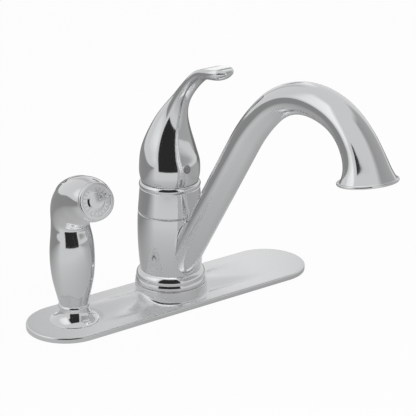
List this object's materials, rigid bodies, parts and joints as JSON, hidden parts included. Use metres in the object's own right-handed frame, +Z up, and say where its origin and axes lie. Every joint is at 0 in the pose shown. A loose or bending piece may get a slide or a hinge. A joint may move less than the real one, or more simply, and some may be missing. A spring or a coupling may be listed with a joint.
{
  "type": "kitchen faucet",
  "caption": "Single-handle kitchen faucet with an arched swivel spout ending in a bell, a bulb-shaped loop lever and a lift-out side spray on a long round-ended deck plate.",
  "frame": {"origin": "on the axis of the valve shank, at the height of the deck surface", "axes": "+X along the deck plate to the user's right, -Y from the valve towards the user and the sink, +Z up"},
  "size_m": [0.288, 0.3133, 0.3068],
  "materials": {
    "chrome": "polished chrome plate",
    "dark_plug": "satin dark grey plastic",
    "rubber": "matt black rubber",
    "brass": "turned brass",
    "white_plastic": "natural acetal",
    "ceramic": "lapped ceramic",
    "steel": "plain steel",
    "nut_plastic": "dark moulded plastic"
  },
  "bodies": {
    "base": {"deck_plate": "chrome", "deck_gasket": "rubber", "valve_body": "brass", "inlet_hot": "brass", "inlet_cold": "brass", "spray_outlet": "brass", "shank_washer": "steel", "shank_nut": "brass", "holder_washer": "steel", "holder_nut": "nut_plastic", "glide_ring_lower": "white_plastic", "glide_ring_upper": "white_plastic", "spout_orings": "rubber", "cartridge_seals": "rubber", "cartridge_base": "white_plastic", "disc_fixed": "ceramic", "cartridge_housing": "white_plastic", "retaining_nut": "brass", "collar": "chrome", "spray_holder": "chrome"},
    "diverter": {"diverter": "brass"},
    "spout": {"spout": "chrome", "aerator_housing": "white_plastic", "aerator_screen": "white_plastic", "aerator_washer": "rubber"},
    "carrier": {"lever_carrier": "white_plastic", "lever_pin": "steel"},
    "lever": {"handle": "chrome", "stem_lever": "steel", "set_screw": "steel", "plug_button": "dark_plug"},
    "disc": {"disc_moving": "ceramic", "disc_driver": "white_plastic"},
    "hose_coupling": {"spray_coupling": "white_plastic"},
    "spray": {"spray_body": "chrome", "trigger_pin": "steel", "spray_bezel": "chrome", "spray_face": "chrome"},
    "trigger": {"spray_trigger": "chrome"},
    "plunger": {"spray_plunger": "white_plastic"}
  },
  "joints": [
    {"name": "spout_swivel", "type": "hinge", "parent": "base", "child": "spout", "pos_m": [0, 0, 0.05], "axis": [0, 0, 1], "range_deg": [-60, 60]},
    {"name": "handle_turn", "type": "hinge", "parent": "base", "child": "carrier", "pos_m": [0, 0, 0.12], "axis": [0, 0, 1], "range_deg": [-45, 45]},
    {"name": "handle_lift", "type": "hinge", "parent": "carrier", "child": "lever", "pos_m": [0, 0, 0.12], "axis": [-1, 0, 0], "range_deg": [0, 25]},
    {"name": "disc_slide", "type": "slide", "parent": "carrier", "child": "disc", "axis": [0, -1, 0], "range_m": [0, 0.0062]},
    {"name": "diverter_slide", "type": "slide", "parent": "base", "child": "diverter", "axis": [0, 1, 0], "range_m": [0, 0.002]},
    {"name": "spray_lift", "type": "slide", "parent": "base", "child": "hose_coupling", "axis": [0, 0, 1], "range_m": [0, 0.15]},
    {"name": "spray_spin", "type": "hinge", "parent": "hose_coupling", "child": "spray", "pos_m": [-0.1016, 0, 0.03], "axis": [0, 0, 1], "continuous": true},
    {"name": "trigger_press", "type": "hinge", "parent": "spray", "child": "trigger", "pos_m": [-0.10306, -0.01191, 0.1326], "axis": [-0.9925, 0.1219, 0], "range_deg": [0, 5.8], "stiffness_Nm_per_rad": 2, "springref_deg": -5.73},
    {"name": "plunger_slide", "type": "slide", "parent": "spray", "child": "plunger", "axis": [-0.1219, -0.9925, 0], "range_m": [0, 0.0033]}
  ],
  "couplings": [
    {"joint": "disc_slide", "follows": "handle_lift", "m_per_rad": 0.0139},
    {"joint": "plunger_slide", "follows": "trigger_press", "m_per_rad": 0.0316}
  ]
}
